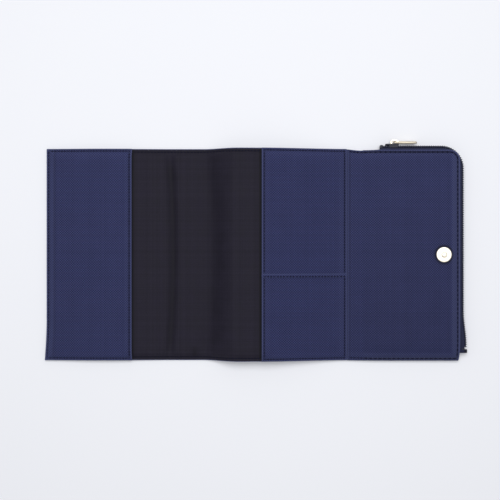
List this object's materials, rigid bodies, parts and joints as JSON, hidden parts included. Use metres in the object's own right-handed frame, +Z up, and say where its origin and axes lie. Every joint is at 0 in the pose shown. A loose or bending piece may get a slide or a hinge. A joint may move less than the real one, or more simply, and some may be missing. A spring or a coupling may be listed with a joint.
{
  "type": "passport holder",
  "caption": "Fold-over fabric travel document case with slip pockets, an L-zip pocket in its closing flap and a snap fastener.",
  "frame": {"origin": "bottom centre of the whole object's box as it lies open on a table with its inside up", "axes": "+X from the cover's free edge towards the closing flap, +Y towards the edge with the zip slider, +Z up"},
  "size_m": [0.2882, 0.151, 0.013],
  "materials": {
    "canvas": "matt woven canvas",
    "lining": "fine plain-weave nylon, slight sheen",
    "interlining": "soft foam-backed cloth",
    "zip_tape": "close-woven tape",
    "zip_coil": "satin nylon",
    "slider_paint": "satin enamel",
    "snap_metal": "pale gold plating, satin",
    "pull_metal": "pale gold plating, polished"
  },
  "bodies": {
    "back": {"back_outer": "canvas", "back_interlining": "interlining", "back_lining": "lining", "ticket_pocket": "canvas", "card_pocket": "canvas", "pocket_divider": "canvas"},
    "spine": {"spine_outer": "canvas", "spine_lining": "lining"},
    "cover": {"cover_outer": "canvas", "cover_interlining": "interlining", "cover_lining": "lining", "cover_pocket": "canvas", "snap_socket": "snap_metal", "snap_socket_eyelet": "snap_metal"},
    "side": {"side_outer": "canvas", "side_inner": "canvas"},
    "flap": {"flap_outer": "canvas", "flap_inner": "canvas", "flap_bottom_seam": "canvas", "zip_bag_outer": "lining", "zip_bag_inner": "lining", "zip_tape_outer": "zip_tape", "zip_tape_inner": "zip_tape", "zip_coil_outer": "zip_coil", "zip_coil_inner": "zip_coil", "zip_top_stop": "slider_paint", "zip_bottom_stop": "slider_paint", "zip_tape_end": "zip_tape", "snap_stud": "snap_metal", "snap_stud_rivet": "snap_metal"},
    "zip_slider": {"zip_slider_body": "slider_paint", "zip_slider_bridge": "pull_metal"},
    "puller": {"pull_tab": "pull_metal"}
  },
  "joints": [
    {"name": "spine_fold", "type": "hinge", "parent": "back", "child": "spine", "pos_m": [-0.0365, -0.00295, 0.0026], "axis": [0, 1, 0], "range_deg": [0, 90]},
    {"name": "cover_fold", "type": "hinge", "parent": "spine", "child": "cover", "pos_m": [-0.055, -0.00295, 0.0026], "axis": [0, 1, 0], "range_deg": [0, 90]},
    {"name": "side_fold", "type": "hinge", "parent": "back", "child": "side", "pos_m": [0.0624, -0.00295, 0.0038], "axis": [0, -1, 0], "range_deg": [0, 90]},
    {"name": "flap_fold", "type": "hinge", "parent": "side", "child": "flap", "pos_m": [0.0836, -0.00295, 0.0078], "axis": [0, -1, 0], "range_deg": [0, 90]},
    {"name": "zip_slide", "type": "slide", "parent": "flap", "child": "zip_slider", "axis": [1, 0, 0], "range_m": [0, 0.029]},
    {"name": "puller_swing", "type": "hinge", "parent": "zip_slider", "child": "puller", "pos_m": [0.0944, 0.07385, 0.0039], "axis": [0, 0, 1], "range_deg": [0, 170]}
  ],
  "couplings": [
    {"joint": "spine_fold", "follows": "cover_fold", "ratio": 1},
    {"joint": "flap_fold", "follows": "side_fold", "ratio": 1}
  ]
}
